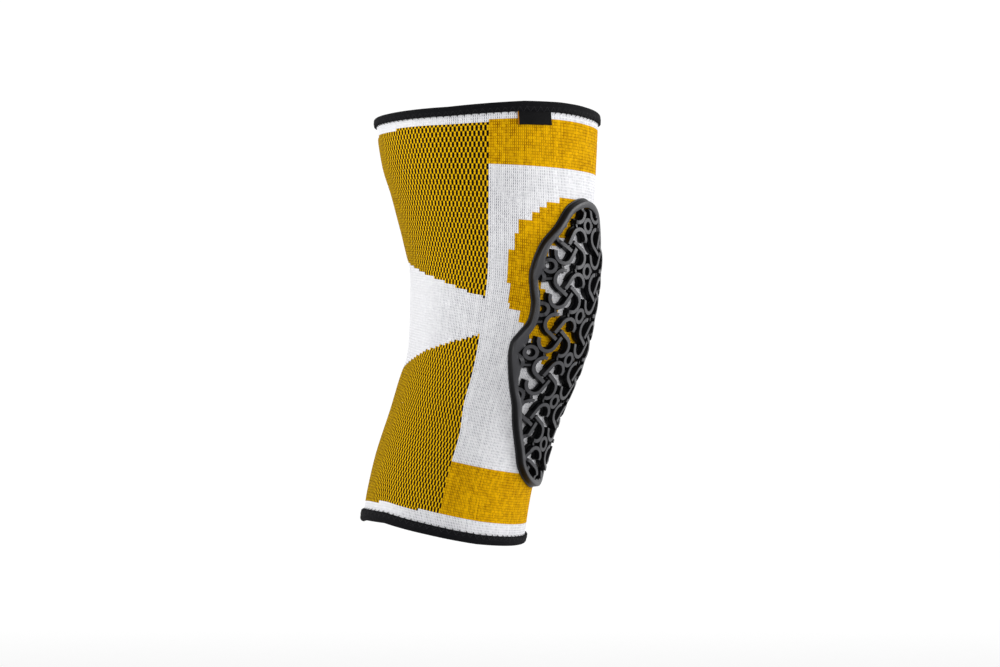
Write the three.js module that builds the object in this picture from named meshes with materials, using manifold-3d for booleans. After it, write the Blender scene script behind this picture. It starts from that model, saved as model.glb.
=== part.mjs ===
// Knee pad: a knitted sleeve shaped to a slightly bent right leg, with elastic
// tape round both edges and a soft moulded lattice guard in front of the knee.
// Millimetres and degrees. +Z runs up the leg, the front of the knee faces -Y,
// and the outer side of the leg is -X. The origin is the knee's centre.
import * as THREE from 'three';
import { mergeVertices } from 'three/addons/utils/BufferGeometryUtils.js';
import Module from 'manifold-3d';

const wasm = await Module();
wasm.setup();

// Sleeve, measured on the outside of the knit
const reachAboveKnee = 111.5;
const reachBelowKnee = 159;
const thighWidth = 139.5;
const thighDepth = 147;
const kneeWidth = 112;
const kneeDepth = 121.5;
const calfWidth = 104.8;
const calfDepth = 106.8;
const thighSetback = 8.7;
const calfSetback = 37.5;
const shinTilt = 13;
const bendTurn = 24;
const knitThickness = 2;

// Leg forms that press through the knit
const frontFlatness = 2.5;
const kneeHollow = 2.5;

// Edge tape, folded over the knit
const tapeThickness = 1.2;
const topTapeHeight = 6;
const bottomTapeHeight = 5.5;
const seamGap = 0.3;

// Tag under the top tape
const tagWidth = 21.5;
const tagDrop = 7.5;
const tagThickness = 0.9;
const tagTurn = -37;

// Guard, in the flat before it is wrapped round the knee
const guardWidth = 98;
const guardReachUp = 63;
const guardReachDown = 125.5;
const guardClearance = 0.5;
const tipSwing = 15;
const rimWidth = 7;
const rimHeight = 4.6;
const rimChamfer = 1.4;
const latticeHeight = 5.5;
const bandWidth = 2.3;
const knotPitchAcross = 31.2;
const knotPitchAlong = 28.45;
const knotRowOffset = 4.2;
const latticeOffset = -2.5;
const lobeRadius = 6.2;
const ringRadius = 3.9;

// Fineness of the faceted surfaces
const roundSteps = 36;
const longestEdge = 10;

// Cross-sections from the calf edge to the thigh edge. height is a share of the
// reach below or above the knee. swell goes from the knee's size, 0, to the
// size at that edge, 1. back and tilt are shares of that side's setback and of
// the shin's tilt, which sets the front of a section lower than its back.
const sectionShares = [
  { height: -1, swell: 1, back: 1, tilt: 0.68 },
  { height: -0.77, swell: 1.16, back: 0.81, tilt: 0.95 },
  { height: -0.57, swell: 1.31, back: 0.56, tilt: 1 },
  { height: -0.47, swell: 1.29, back: 0.43, tilt: 1 },
  { height: -0.36, swell: 1.12, back: 0.26, tilt: 1 },
  { height: -0.26, swell: 0.71, back: 0.15, tilt: 0.98 },
  { height: -0.16, swell: 0.34, back: 0.08, tilt: 0.92 },
  { height: 0, swell: -0.04, back: 0.015, tilt: 0.75 },
  { height: 0.21, swell: 0.23, back: 0.14, tilt: 0.5 },
  { height: 0.35, swell: 0.33, back: 0.35, tilt: 0.36 },
  { height: 0.5, swell: 0.49, back: 0.56, tilt: 0.27 },
  { height: 0.67, swell: 0.74, back: 0.8, tilt: 0.17 },
  { height: 1, swell: 1, back: 1, tilt: -0.08 },
];

// Soft forms: rise outwards, the turn round the leg and the level that they
// centre on, and how far they spread. Levels are shares of the knee's depth.
const legForms = [
  { rise: -frontFlatness, turn: 0, level: -0.2, turnSpread: 24, levelSpread: 0.75 },
  { rise: -kneeHollow, turn: 180, level: -0.04, turnSpread: 30, levelSpread: 0.3 },
];

// Half outline of the guard from its top to its tip. up is a share of the reach
// up or down from the knee's front, half of half the guard's width.
const guardShares = [
  { up: 1, half: 0 },
  { up: 0.91, half: 0.33 },
  { up: 0.7, half: 0.605 },
  { up: 0.51, half: 0.845 },
  { up: 0.35, half: 0.91 },
  { up: 0.18, half: 0.895 },
  { up: 0.02, half: 0.865 },
  { up: -0.065, half: 0.825 },
  { up: -0.15, half: 0.865 },
  { up: -0.21, half: 0.94 },
  { up: -0.27, half: 1 },
  { up: -0.33, half: 0.985 },
  { up: -0.4, half: 0.93 },
  { up: -0.51, half: 0.81 },
  { up: -0.6, half: 0.695 },
  { up: -0.71, half: 0.58 },
  { up: -0.81, half: 0.48 },
  { up: -0.9, half: 0.39 },
  { up: -0.965, half: 0.245 },
  { up: -1, half: 0 },
];

const radians = THREE.MathUtils.degToRad;
const mix = THREE.MathUtils.lerp;

// Leg surface

function sectionRow({ height, swell, back, tilt }) {
  const above = height > 0;
  const edgeWidth = above ? thighWidth : calfWidth;
  const edgeDepth = above ? thighDepth : calfDepth;
  return {
    level: height * (above ? reachAboveKnee : reachBelowKnee),
    halfWidth: mix(kneeWidth, edgeWidth, swell) / 2,
    halfDepth: mix(kneeDepth, edgeDepth, swell) / 2,
    back: back * (above ? thighSetback : calfSetback),
    tilt: tilt * shinTilt,
  };
}

const sectionRows = sectionShares.map(sectionRow);

// Slope of a column of the section rows at row i
function slopeAt(column, i) {
  const before = sectionRows[Math.max(i - 1, 0)];
  const after = sectionRows[Math.min(i + 1, sectionRows.length - 1)];
  return (after[column] - before[column]) / (after.level - before.level);
}

// Smooth value of a column at any level, by a cubic between two rows
function columnAt(column, level) {
  const last = sectionRows.length - 2;
  const found = sectionRows.findIndex((row) => row.level > level) - 1;
  const i = found < 0 ? (level < sectionRows[0].level ? 0 : last) : found;
  const low = sectionRows[i];
  const high = sectionRows[i + 1];
  const span = high.level - low.level;
  const u = (level - low.level) / span;
  const startWeight = (1 + 2 * u) * (1 - u) * (1 - u);
  const endWeight = u * u * (3 - 2 * u);
  const startPull = u * (1 - u) * (1 - u) * span * slopeAt(column, i);
  const endPull = u * u * (u - 1) * span * slopeAt(column, i + 1);
  return startWeight * low[column] + endWeight * high[column] + startPull + endPull;
}

function sectionAt(level) {
  return {
    halfWidth: columnAt('halfWidth', level),
    halfDepth: columnAt('halfDepth', level),
    back: columnAt('back', level),
    tilt: radians(columnAt('tilt', level)),
  };
}

function bell(distance, spread) {
  return Math.exp(-((distance / spread) ** 2));
}

function formRise(level, turn) {
  let rise = 0;
  for (const form of legForms) {
    const away = THREE.MathUtils.euclideanModulo(turn - form.turn + 180, 360) - 180;
    const along = level - form.level * kneeDepth;
    rise += form.rise * bell(away, form.turnSpread) * bell(along, form.levelSpread * kneeDepth);
  }
  return rise;
}

// Unit direction in which the leg bends, across and forward
const bendAcross = Math.sin(radians(bendTurn));
const bendForward = Math.cos(radians(bendTurn));

// A point out from the leg's surface. turn is 0 at the front and positive
// towards the inner side of the leg. Each section is set back against the bend
// and tilted down along it.
function skinPoint(level, turn, out) {
  const { halfWidth, halfDepth, back, tilt } = sectionAt(level);
  const sine = Math.sin(radians(turn));
  const cosine = Math.cos(radians(turn));
  const normalAcross = halfDepth * sine;
  const normalForward = halfWidth * cosine;
  const reach = (out + formRise(level, turn)) / Math.hypot(normalAcross, normalForward);
  const across = halfWidth * sine + reach * normalAcross;
  const forward = halfDepth * cosine + reach * normalForward;
  const along = across * bendAcross + forward * bendForward;
  const shift = along * (Math.cos(tilt) - 1) - back;
  return new THREE.Vector3(
    across + shift * bendAcross,
    -forward - shift * bendForward,
    level - along * Math.sin(tilt),
  );
}

// Turn that is reached by an arc length round the section from its front
function turnAt(level, arc) {
  const { halfWidth, halfDepth } = sectionAt(level);
  const step = Math.sign(arc);
  let turn = 0;
  let left = Math.abs(arc);
  while (left > 0) {
    const middle = radians(turn + step / 2);
    const pace = radians(1) * Math.hypot(halfWidth * Math.cos(middle), halfDepth * Math.sin(middle));
    turn += step * Math.min(1, left / pace);
    left -= pace;
  }
  return turn;
}

// Levels along the front of the leg at every millimetre of its length
function frontLevels(length) {
  const direction = Math.sign(length);
  const levels = [0];
  for (let walked = 0; walked < Math.abs(length); walked += 1) {
    const level = levels[levels.length - 1];
    const pace = skinPoint(level + direction, 0, 0).distanceTo(skinPoint(level, 0, 0));
    levels.push(level + direction / pace);
  }
  return levels;
}

const levelsUp = frontLevels(guardReachUp + 1);
const levelsDown = frontLevels(-guardReachDown - 1);

// Level of the section whose front lies a length up the leg from the knee's
function levelAt(up) {
  const levels = up < 0 ? levelsDown : levelsUp;
  const whole = Math.min(Math.floor(Math.abs(up)), levels.length - 2);
  return mix(levels[whole], levels[whole + 1], Math.abs(up) - whole);
}

// Solids that go round the leg

function closedGeometry(points, triangles) {
  const geometry = new THREE.BufferGeometry();
  geometry.setFromPoints(points);
  geometry.setIndex(triangles);
  return geometry;
}

// Sweeps a closed profile of { level, out } corners round the leg, all the way
// or from one turn to another with flat ends
function wrapRound(profile, fromTurn = 0, toTurn = 360, steps = roundSteps) {
  const whole = toTurn - fromTurn === 360;
  const stops = whole ? steps : steps + 1;
  const count = profile.length;
  const points = [];
  const triangles = [];
  for (let stop = 0; stop < stops; stop += 1) {
    const turn = mix(fromTurn, toTurn, stop / steps);
    for (const corner of profile) points.push(skinPoint(corner.level, turn, corner.out));
  }
  for (let stop = 0; stop < steps; stop += 1) {
    const here = stop * count;
    const next = ((stop + 1) % stops) * count;
    for (let i = 0; i < count; i += 1) {
      const j = (i + 1) % count;
      triangles.push(here + i, here + j, next + j, here + i, next + j, next + i);
    }
  }
  if (!whole) {
    const end = steps * count;
    for (let i = 1; i < count - 1; i += 1) {
      triangles.push(0, i + 1, i, end, end + i, end + i + 1);
    }
  }
  return closedGeometry(points, triangles);
}

// Knit sleeve: an outer and an inner surface, closed inside the folded tapes

const topEdge = reachAboveKnee;
const bottomEdge = -reachBelowKnee;
const knitTop = topEdge - tapeThickness - seamGap;
const knitBottom = bottomEdge + tapeThickness + seamGap;

function knitLevels(rows) {
  const levels = [];
  for (let row = 0; row <= rows; row += 1) levels.push(mix(knitBottom, knitTop, row / rows));
  return levels;
}

function makeKnitSleeve() {
  const outerRows = 18;
  const innerRows = 8;
  const inside = knitLevels(innerRows).map((level) => ({ level, out: -knitThickness }));
  const outside = knitLevels(outerRows).reverse().map((level) => ({ level, out: 0 }));
  return wrapRound([...inside, ...outside]);
}

// Edge tape: a U in section, with its fold rounded by two chamfers

function makeTape(edge, height, direction) {
  const outerFace = seamGap + tapeThickness;
  const innerFace = -knitThickness - seamGap - tapeThickness;
  const crown = tapeThickness * 0.6;
  const hem = edge - direction * height;
  const fold = edge - direction * tapeThickness;
  const corners = [
    { level: hem, out: innerFace },
    { level: edge - direction * crown, out: innerFace },
    { level: edge, out: innerFace + crown },
    { level: edge, out: outerFace - crown },
    { level: edge - direction * crown, out: outerFace },
    { level: hem, out: outerFace },
    { level: hem, out: seamGap },
    { level: fold, out: seamGap },
    { level: fold, out: innerFace + tapeThickness },
    { level: hem, out: innerFace + tapeThickness },
  ];
  return wrapRound(direction > 0 ? corners : corners.reverse());
}

// Tag: a small flat patch that hangs below the top tape

function makeTag() {
  const top = topEdge - topTapeHeight - seamGap;
  const bottom = top - tagDrop;
  const inner = seamGap;
  const outer = seamGap + tagThickness;
  const centre = tagTurn;
  const halfTurn = turnAt(top, tagWidth / 2);
  const corners = [
    { level: bottom, out: inner },
    { level: top, out: inner },
    { level: top, out: outer },
    { level: bottom, out: outer },
  ];
  return wrapRound(corners, centre - halfTurn, centre + halfTurn, 4);
}

// Guard, drawn flat: x across the knee, y up the leg, z out from the knit

function solidOf(geometry) {
  geometry.deleteAttribute('normal');
  geometry.deleteAttribute('uv');
  const merged = mergeVertices(geometry, 1e-4);
  return new wasm.Manifold(new wasm.Mesh({
    numProp: 3,
    vertProperties: merged.attributes.position.array,
    triVerts: new Uint32Array(merged.index.array),
  }));
}

function prism(outline, height) {
  const shape = new THREE.Shape(outline);
  return solidOf(new THREE.ExtrudeGeometry(shape, { depth: height, bevelEnabled: false }));
}

function join(solids) {
  return solids.reduce((whole, solid) => whole.add(solid));
}

// Unit direction along a path at point i, from its neighbours
function headingAt(path, i, closed) {
  const last = path.length - 1;
  const before = path[i > 0 ? i - 1 : closed ? last : 0];
  const after = path[i < last ? i + 1 : closed ? 0 : last];
  return after.clone().sub(before).normalize();
}

function sidePoint(path, i, distance, closed) {
  const heading = headingAt(path, i, closed);
  const left = new THREE.Vector2(-heading.y, heading.x);
  return path[i].clone().addScaledVector(left, distance);
}

// A band of even width along an open path
function bandAlong(path) {
  const left = path.map((point, i) => sidePoint(path, i, bandWidth / 2, false));
  const right = path.map((point, i) => sidePoint(path, i, -bandWidth / 2, false));
  return prism([...right, ...left.reverse()], latticeHeight);
}

function arcPoints(centre, radius, fromAngle, toAngle, steps) {
  const points = [];
  for (let step = 0; step <= steps; step += 1) {
    const angle = radians(mix(fromAngle, toAngle, step / steps));
    points.push(new THREE.Vector2(Math.cos(angle), Math.sin(angle)).multiplyScalar(radius).add(centre));
  }
  return points;
}

// A hook turns nearly half round its lobe and runs off in a straight tail that
// crosses the next hook. Four of them, a quarter turn apart, make a knot.
const lobeAcross = 1.06 * lobeRadius;
const lobeAlong = 0.84 * lobeRadius;
const hookStart = -15;
const hookEnd = 150;
const tailLength = 1.8 * lobeRadius;

function lobeCentre(knot, quarter) {
  const centre = new THREE.Vector2(lobeAcross, lobeAlong);
  return centre.rotateAround(new THREE.Vector2(), quarter * Math.PI / 2).add(knot);
}

function makeHook(knot, quarter) {
  const turned = quarter * 90;
  const path = arcPoints(lobeCentre(knot, quarter), lobeRadius, hookStart + turned, hookEnd + turned, 5);
  const heading = radians(hookEnd + turned + 90);
  const tail = new THREE.Vector2(Math.cos(heading), Math.sin(heading)).multiplyScalar(tailLength);
  path.push(path[path.length - 1].clone().add(tail));
  return bandAlong(path);
}

// A straight band between two points, run on past each by half its width
function makeLink(from, to) {
  const overlap = to.clone().sub(from).setLength(bandWidth / 2);
  return bandAlong([from.clone().sub(overlap), to.clone().add(overlap)]);
}

function makeRing(centre) {
  const sides = 10;
  const outer = arcPoints(centre, ringRadius + bandWidth / 2, 0, 360, sides).slice(1);
  const inner = arcPoints(centre, ringRadius - bandWidth / 2, 0, 360, sides).slice(1);
  return prism(outer, latticeHeight).subtract(prism(inner, latticeHeight));
}

// Short bands from a ring to the lobe that faces it in each knot round it
function makeRingLinks(ring) {
  const links = [];
  for (let quarter = 0; quarter < 4; quarter += 1) {
    const side = quarter === 0 || quarter === 3 ? 1 : -1;
    const rise = quarter < 2 ? 1 : -1;
    const step = new THREE.Vector2(side * knotPitchAcross / 2, rise * knotPitchAlong / 2);
    const lobe = lobeCentre(ring.clone().add(step), (quarter + 2) % 4);
    const away = lobe.clone().sub(ring).normalize();
    const from = ring.clone().addScaledVector(away, ringRadius);
    const to = lobe.clone().addScaledVector(away, -lobeRadius);
    links.push(makeLink(from, to));
  }
  return links;
}

// Two upright bands from a knot to the one above it, and one level band to the
// knot beside it
function makeKnotLinks(knot) {
  const above = knot.clone().add(new THREE.Vector2(0, knotPitchAlong));
  const beside = knot.clone().add(new THREE.Vector2(knotPitchAcross, 0));
  const up = new THREE.Vector2(0, lobeRadius);
  const right = new THREE.Vector2(lobeRadius, 0);
  return [
    makeLink(lobeCentre(knot, 0).add(up), lobeCentre(above, 3).sub(up)),
    makeLink(lobeCentre(knot, 1).add(up), lobeCentre(above, 2).sub(up)),
    makeLink(lobeCentre(knot, 0).add(right), lobeCentre(beside, 1).sub(right)),
  ];
}

// Knots stand in two columns either side of the middle, with a ring between
// each four of them
function makeLattice() {
  const columns = Math.ceil(guardWidth / 2 / knotPitchAcross);
  const rowsDown = Math.ceil((guardReachDown + knotRowOffset) / knotPitchAlong);
  const rowsUp = Math.ceil((guardReachUp - knotRowOffset) / knotPitchAlong);
  const solids = [];
  for (let row = -rowsDown; row <= rowsUp; row += 1) {
    for (let column = -columns; column < columns; column += 1) {
      const ring = new THREE.Vector2(
        latticeOffset + column * knotPitchAcross,
        knotRowOffset + (row + 0.5) * knotPitchAlong,
      );
      const knot = ring.clone().add(new THREE.Vector2(knotPitchAcross / 2, -knotPitchAlong / 2));
      for (let quarter = 0; quarter < 4; quarter += 1) solids.push(makeHook(knot, quarter));
      solids.push(...makeKnotLinks(knot), makeRing(ring), ...makeRingLinks(ring));
    }
  }
  return join(solids);
}

function guardOutline() {
  const half = guardShares.map(({ up, half: across }) => {
    const reach = up > 0 ? guardReachUp : guardReachDown;
    return new THREE.Vector3(across * guardWidth / 2, up * reach, 0);
  });
  const mirrored = half.slice(1, -1).reverse().map((point) => new THREE.Vector3(-point.x, point.y, 0));
  const curve = new THREE.CatmullRomCurve3([...half, ...mirrored], true);
  const points = curve.getSpacedPoints(60).slice(0, -1);
  return points.reverse().map((point) => new THREE.Vector2(point.x, point.y));
}

// Shortest distance from a point to a closed outline
function distanceTo(outline, point) {
  const nearest = new THREE.Vector3();
  const flat = new THREE.Vector3(point.x, point.y, 0);
  let shortest = Infinity;
  outline.forEach((corner, i) => {
    const next = outline[(i + 1) % outline.length];
    const side = new THREE.Line3(new THREE.Vector3(corner.x, corner.y, 0), new THREE.Vector3(next.x, next.y, 0));
    side.closestPointToPoint(flat, true, nearest);
    shortest = Math.min(shortest, nearest.distanceTo(flat));
  });
  return shortest;
}

// The outline moved in by a distance, without the points that crowd at its tip
function inset(outline, distance) {
  const moved = outline.map((point, i) => sidePoint(outline, i, distance, true));
  return moved.filter((point) => distanceTo(outline, point) > 0.98 * distance);
}

// Rim blank: the full outline with a chamfer round its top edge
function makeRimBlank(outline) {
  const layers = [
    { height: 0, points: outline },
    { height: rimHeight - rimChamfer, points: outline },
    { height: rimHeight, points: outline.map((point, i) => sidePoint(outline, i, rimChamfer, true)) },
  ];
  const count = outline.length;
  const points = layers.flatMap(({ height, points: ring }) => ring.map(({ x, y }) => new THREE.Vector3(x, y, height)));
  const triangles = [];
  for (let layer = 0; layer < layers.length - 1; layer += 1) {
    for (let i = 0; i < count; i += 1) {
      const j = (i + 1) % count;
      const low = layer * count;
      const high = low + count;
      triangles.push(low + i, low + j, high + j, low + i, high + j, high + i);
    }
  }
  const top = count * (layers.length - 1);
  for (const [a, b, c] of THREE.ShapeUtils.triangulateShape(outline, [])) {
    triangles.push(a, c, b);
  }
  for (const [a, b, c] of THREE.ShapeUtils.triangulateShape(layers[2].points, [])) {
    triangles.push(top + a, top + b, top + c);
  }
  return solidOf(closedGeometry(points, triangles));
}

// Halves each edge over the longest length, on both of its triangles, until
// none is left, so that the flat solid can bend
function splitLongEdges(points, triangles) {
  let faces = triangles;
  let split = true;
  while (split) {
    const middles = new Map();
    const middleOf = (a, b) => {
      const key = a < b ? `${a} ${b}` : `${b} ${a}`;
      if (points[a].distanceTo(points[b]) <= longestEdge) return -1;
      if (!middles.has(key)) {
        middles.set(key, points.length);
        points.push(points[a].clone().lerp(points[b], 0.5));
      }
      return middles.get(key);
    };
    const finer = [];
    for (let i = 0; i < faces.length; i += 3) finer.push(...splitFace(faces.slice(i, i + 3), middleOf));
    split = middles.size > 0;
    faces = finer;
  }
  return faces;
}

// One triangle cut at the middles of its long edges
function splitFace([a, b, c], middleOf) {
  const ab = middleOf(a, b);
  const bc = middleOf(b, c);
  const ca = middleOf(c, a);
  const cuts = [ab, bc, ca].filter((middle) => middle >= 0).length;
  if (cuts === 0) return [a, b, c];
  if (cuts === 3) return [a, ab, ca, ab, b, bc, ca, bc, c, ab, bc, ca];
  if (cuts === 1) {
    if (ab >= 0) return [a, ab, c, ab, b, c];
    if (bc >= 0) return [b, bc, a, bc, c, a];
    return [c, ca, b, ca, a, b];
  }
  if (ab < 0) return [c, ca, bc, ca, a, b, ca, b, bc];
  if (bc < 0) return [a, ab, ca, ab, b, c, ab, c, ca];
  return [b, bc, ab, bc, c, a, bc, a, ab];
}

// A flat point laid over the front of the knee. Below the knee the guard swings
// towards the inner side of the leg, most at its tip.
function drapePoint({ x, y, z }) {
  const level = levelAt(y);
  const swing = tipSwing * (Math.max(-y, 0) / guardReachDown) ** 3;
  return skinPoint(level, turnAt(level, x + swing), guardClearance + z);
}

// Wraps a flat solid over the front of the knee
function drape(solid) {
  const mesh = solid.getMesh();
  const flat = [];
  for (let i = 0; i < mesh.numVert; i += 1) {
    flat.push(new THREE.Vector3(...mesh.vertProperties.slice(i * mesh.numProp, i * mesh.numProp + 3)));
  }
  const triangles = splitLongEdges(flat, Array.from(mesh.triVerts));
  return closedGeometry(flat.map(drapePoint), triangles);
}

function makeGuard() {
  const outline = guardOutline();
  const opening = prism(inset(outline, rimWidth), rimHeight * 2);
  const rim = makeRimBlank(outline).subtract(opening.translate([0, 0, -rimHeight / 2]));
  const field = prism(inset(outline, rimWidth - bandWidth), latticeHeight);
  return drape(rim.add(makeLattice().intersect(field)));
}

// Finishes

const finishes = {
  knit: new THREE.MeshStandardMaterial({ color: 0xe1aa0a, roughness: 0.9, metalness: 0 }),
  tape: new THREE.MeshStandardMaterial({ color: 0x19191c, roughness: 0.85, metalness: 0 }),
  rubber: new THREE.MeshStandardMaterial({ color: 0x1e1e21, roughness: 0.45, metalness: 0 }),
  woven: new THREE.MeshStandardMaterial({ color: 0x101012, roughness: 0.7, metalness: 0 }),
};

function addPiece(name, geometry, material) {
  const mesh = new THREE.Mesh(geometry, material);
  mesh.name = name;
  kneePad.add(mesh);
}

const kneePad = new THREE.Group();
kneePad.name = 'knee_pad';
addPiece('knit_sleeve', makeKnitSleeve(), finishes.knit);
addPiece('top_binding', makeTape(topEdge, topTapeHeight, 1), finishes.tape);
addPiece('bottom_binding', makeTape(bottomEdge, bottomTapeHeight, -1), finishes.tape);
addPiece('side_label', makeTag(), finishes.woven);
addPiece('knee_guard', makeGuard(), finishes.rubber);

export default kneePad;
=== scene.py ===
"""Dresses a packed knee pad: a jacquard knit sleeve, stitched edge tapes, a
woven tag and a soft moulded lattice guard, on a white studio sweep.

Run as a script. Sizes in the code are millimetres, as in the part's source, and
become metres where a mesh is made. +Z is up the leg and the knee faces -Y.
"""

import math

import bpy
import bmesh
import numpy as np
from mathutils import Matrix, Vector


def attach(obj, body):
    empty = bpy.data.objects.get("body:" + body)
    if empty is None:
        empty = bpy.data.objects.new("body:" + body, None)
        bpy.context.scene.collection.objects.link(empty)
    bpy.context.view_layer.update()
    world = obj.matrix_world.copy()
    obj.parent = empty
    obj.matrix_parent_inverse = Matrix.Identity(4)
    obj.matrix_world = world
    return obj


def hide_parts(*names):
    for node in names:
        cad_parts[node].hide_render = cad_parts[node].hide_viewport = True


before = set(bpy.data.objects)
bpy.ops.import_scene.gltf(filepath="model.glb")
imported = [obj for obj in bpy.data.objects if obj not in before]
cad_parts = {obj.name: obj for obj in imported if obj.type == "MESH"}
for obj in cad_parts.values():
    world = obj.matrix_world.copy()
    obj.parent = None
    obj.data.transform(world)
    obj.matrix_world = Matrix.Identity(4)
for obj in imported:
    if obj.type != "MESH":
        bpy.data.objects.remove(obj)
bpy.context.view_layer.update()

bl_info = {
    "name": "Knee Pad Dressing",
    "version": (1, 0, 0),
    "blender": (4, 5, 0),
    "location": "View3D > Sidebar > Knee Pad",
    "description": "Builds the knit, tapes, tag and moulded guard of a pull-on knee pad",
    "category": "Object",
}

# A millimetre, and the distance under which points are welded, in metres
MM = 0.001
WELD_DISTANCE = 0.001 * MM
BODY = "root"

# ---- Leg ---------------------------------------------------------------------

REACH_ABOVE, REACH_BELOW = 111.5, 159.0
THIGH_WIDTH, THIGH_DEPTH = 139.5, 147.0
KNEE_WIDTH, KNEE_DEPTH = 112.0, 121.5
CALF_WIDTH, CALF_DEPTH = 104.8, 106.8
THIGH_SETBACK, CALF_SETBACK = 8.7, 37.5
SHIN_TILT, BEND_TURN = 13.0, 24.0
KNIT_THICKNESS = 2.0
TAPE_THICKNESS = 1.2
SEAM_GAP = 0.3
KNIT_TOP = REACH_ABOVE - TAPE_THICKNESS - SEAM_GAP
KNIT_BOTTOM = -REACH_BELOW + TAPE_THICKNESS + SEAM_GAP

# Sections from the calf edge to the thigh edge: share of the reach, swell from
# the knee's size to the edge's, and shares of the setback and of the tilt
SECTION_SHARES = (
    (-1.0, 1.0, 1.0, 0.68), (-0.77, 1.16, 0.81, 0.95), (-0.57, 1.31, 0.56, 1.0),
    (-0.47, 1.29, 0.43, 1.0), (-0.36, 1.12, 0.26, 1.0), (-0.26, 0.71, 0.15, 0.98),
    (-0.16, 0.34, 0.08, 0.92), (0.0, -0.04, 0.015, 0.75), (0.21, 0.23, 0.14, 0.5),
    (0.35, 0.33, 0.35, 0.36), (0.5, 0.49, 0.56, 0.27), (0.67, 0.74, 0.8, 0.17),
    (1.0, 1.0, 1.0, -0.08),
)

# Soft forms under the knit: rise, turn, level, and how far each spreads
LEG_FORMS = (
    (-2.5, 0.0, -0.2 * KNEE_DEPTH, 24.0, 0.75 * KNEE_DEPTH),
    (-2.5, 180.0, -0.04 * KNEE_DEPTH, 30.0, 0.3 * KNEE_DEPTH),
)


# How far the calf hem rides up the leg, against the turn to either side
HEM_RISE = ((0, 0.4), (35, 0.5), (70, 2.1), (105, 3.2), (130, 1.0), (150, -1.8), (180, -2.2))
HEM_FADE = 28.0

# The same for the thigh hem, against the signed turn
TOP_RISE = (
    (-180, -1.2), (-150, -1.5), (-120, -1.9), (-80, -1.9), (-65, -0.9), (-52, 0.0),
    (-42, 0.7), (-22, 0.7), (-8, 0.1), (0, -0.4), (20, -1.2), (180, -1.2),
)
TOP_FADE = 22.0


def mix(a, b, share):
    return a + (b - a) * share


def read_off(table, at):
    """Values of a two-column table at any places in its first, in straight lines."""
    return np.interp(at, *np.array(table).T)


def smooth_table(table, at):
    """Values of a table's columns at any place in its first one, by cubics."""
    table = np.asarray(table)
    places, values = table[:, 0], table[:, 1:]
    slopes = np.empty_like(values)
    slopes[1:-1] = (values[2:] - values[:-2]) / (places[2:] - places[:-2])[:, None]
    slopes[0] = (values[1] - values[0]) / (places[1] - places[0])
    slopes[-1] = (values[-1] - values[-2]) / (places[-1] - places[-2])
    at = np.asarray(at, float)
    i = np.clip(np.searchsorted(places, at, side="right") - 1, 0, len(places) - 2)
    span = (places[i + 1] - places[i])[..., None]
    u = (at - places[i])[..., None] / span
    low = (1 + 2 * u) * (1 - u) ** 2 * values[i] + u * u * (3 - 2 * u) * values[i + 1]
    pull = u * (1 - u) ** 2 * slopes[i] + u * u * (u - 1) * slopes[i + 1]
    return np.moveaxis(low + pull * span, -1, 0)


def section_table():
    rows = []
    for height, swell, back, tilt in SECTION_SHARES:
        above = height > 0
        width = mix(KNEE_WIDTH, THIGH_WIDTH if above else CALF_WIDTH, swell)
        depth = mix(KNEE_DEPTH, THIGH_DEPTH if above else CALF_DEPTH, swell)
        level = height * (REACH_ABOVE if above else REACH_BELOW)
        setback = back * (THIGH_SETBACK if above else CALF_SETBACK)
        rows.append((level, width / 2, depth / 2, setback, math.radians(tilt * SHIN_TILT)))
    return np.array(rows)


SECTIONS = section_table()


def form_rise(level, turn):
    rise = 0.0
    for height, form_turn, form_level, turn_spread, level_spread in LEG_FORMS:
        away = (turn - form_turn + 180) % 360 - 180
        along = level - form_level
        rise = rise + height * np.exp(-((away / turn_spread) ** 2) - (along / level_spread) ** 2)
    return rise


def skin(level, turn, out):
    """Points out from the leg's surface. turn is 0 in front, positive inwards."""
    level, turn, out = np.broadcast_arrays(*(np.asarray(x, float) for x in (level, turn, out)))
    signed = (turn + 180) % 360 - 180
    rise = read_off(HEM_RISE, np.abs(signed))
    rise = rise * np.exp(-(((level + REACH_BELOW) / HEM_FADE) ** 2))
    top_rise = read_off(TOP_RISE, signed) * np.exp(-(((level - REACH_ABOVE) / TOP_FADE) ** 2))
    level = level + rise + top_rise
    half_width, half_depth, back, tilt = smooth_table(SECTIONS, level)
    sine, cosine = np.sin(np.radians(turn)), np.cos(np.radians(turn))
    normal_across, normal_forward = half_depth * sine, half_width * cosine
    reach = (out + form_rise(level, turn)) / np.hypot(normal_across, normal_forward)
    across = half_width * sine + reach * normal_across
    forward = half_depth * cosine + reach * normal_forward
    bend = math.radians(BEND_TURN)
    along = across * math.sin(bend) + forward * math.cos(bend)
    shift = along * (np.cos(tilt) - 1) - back
    return np.stack(
        (
            across + shift * math.sin(bend),
            -forward - shift * math.cos(bend),
            level - along * np.sin(tilt),
        ),
        axis=-1,
    )


def turn_at(level, arc):
    """Turn reached by an arc length round the section from its front."""
    half_width, half_depth, _, _ = smooth_table(SECTIONS, level)
    turn, left, step = np.zeros_like(arc), np.abs(arc), np.sign(arc)
    while left.max() > 1e-9:
        middle = np.radians(turn + step / 2)
        pace = math.radians(1) * np.hypot(half_width * np.cos(middle), half_depth * np.sin(middle))
        turn = turn + step * np.minimum(1, left / pace)
        left = np.maximum(left - pace, 0)
    return turn


def front_levels(length):
    direction = math.copysign(1, length)
    levels = [0.0]
    for _ in range(int(abs(length)) + 1):
        here = levels[-1]
        pace = np.linalg.norm(skin(here + direction, 0, 0) - skin(here, 0, 0))
        levels.append(here + direction / pace)
    return np.array(levels)


# ---- Meshes ------------------------------------------------------------------


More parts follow.
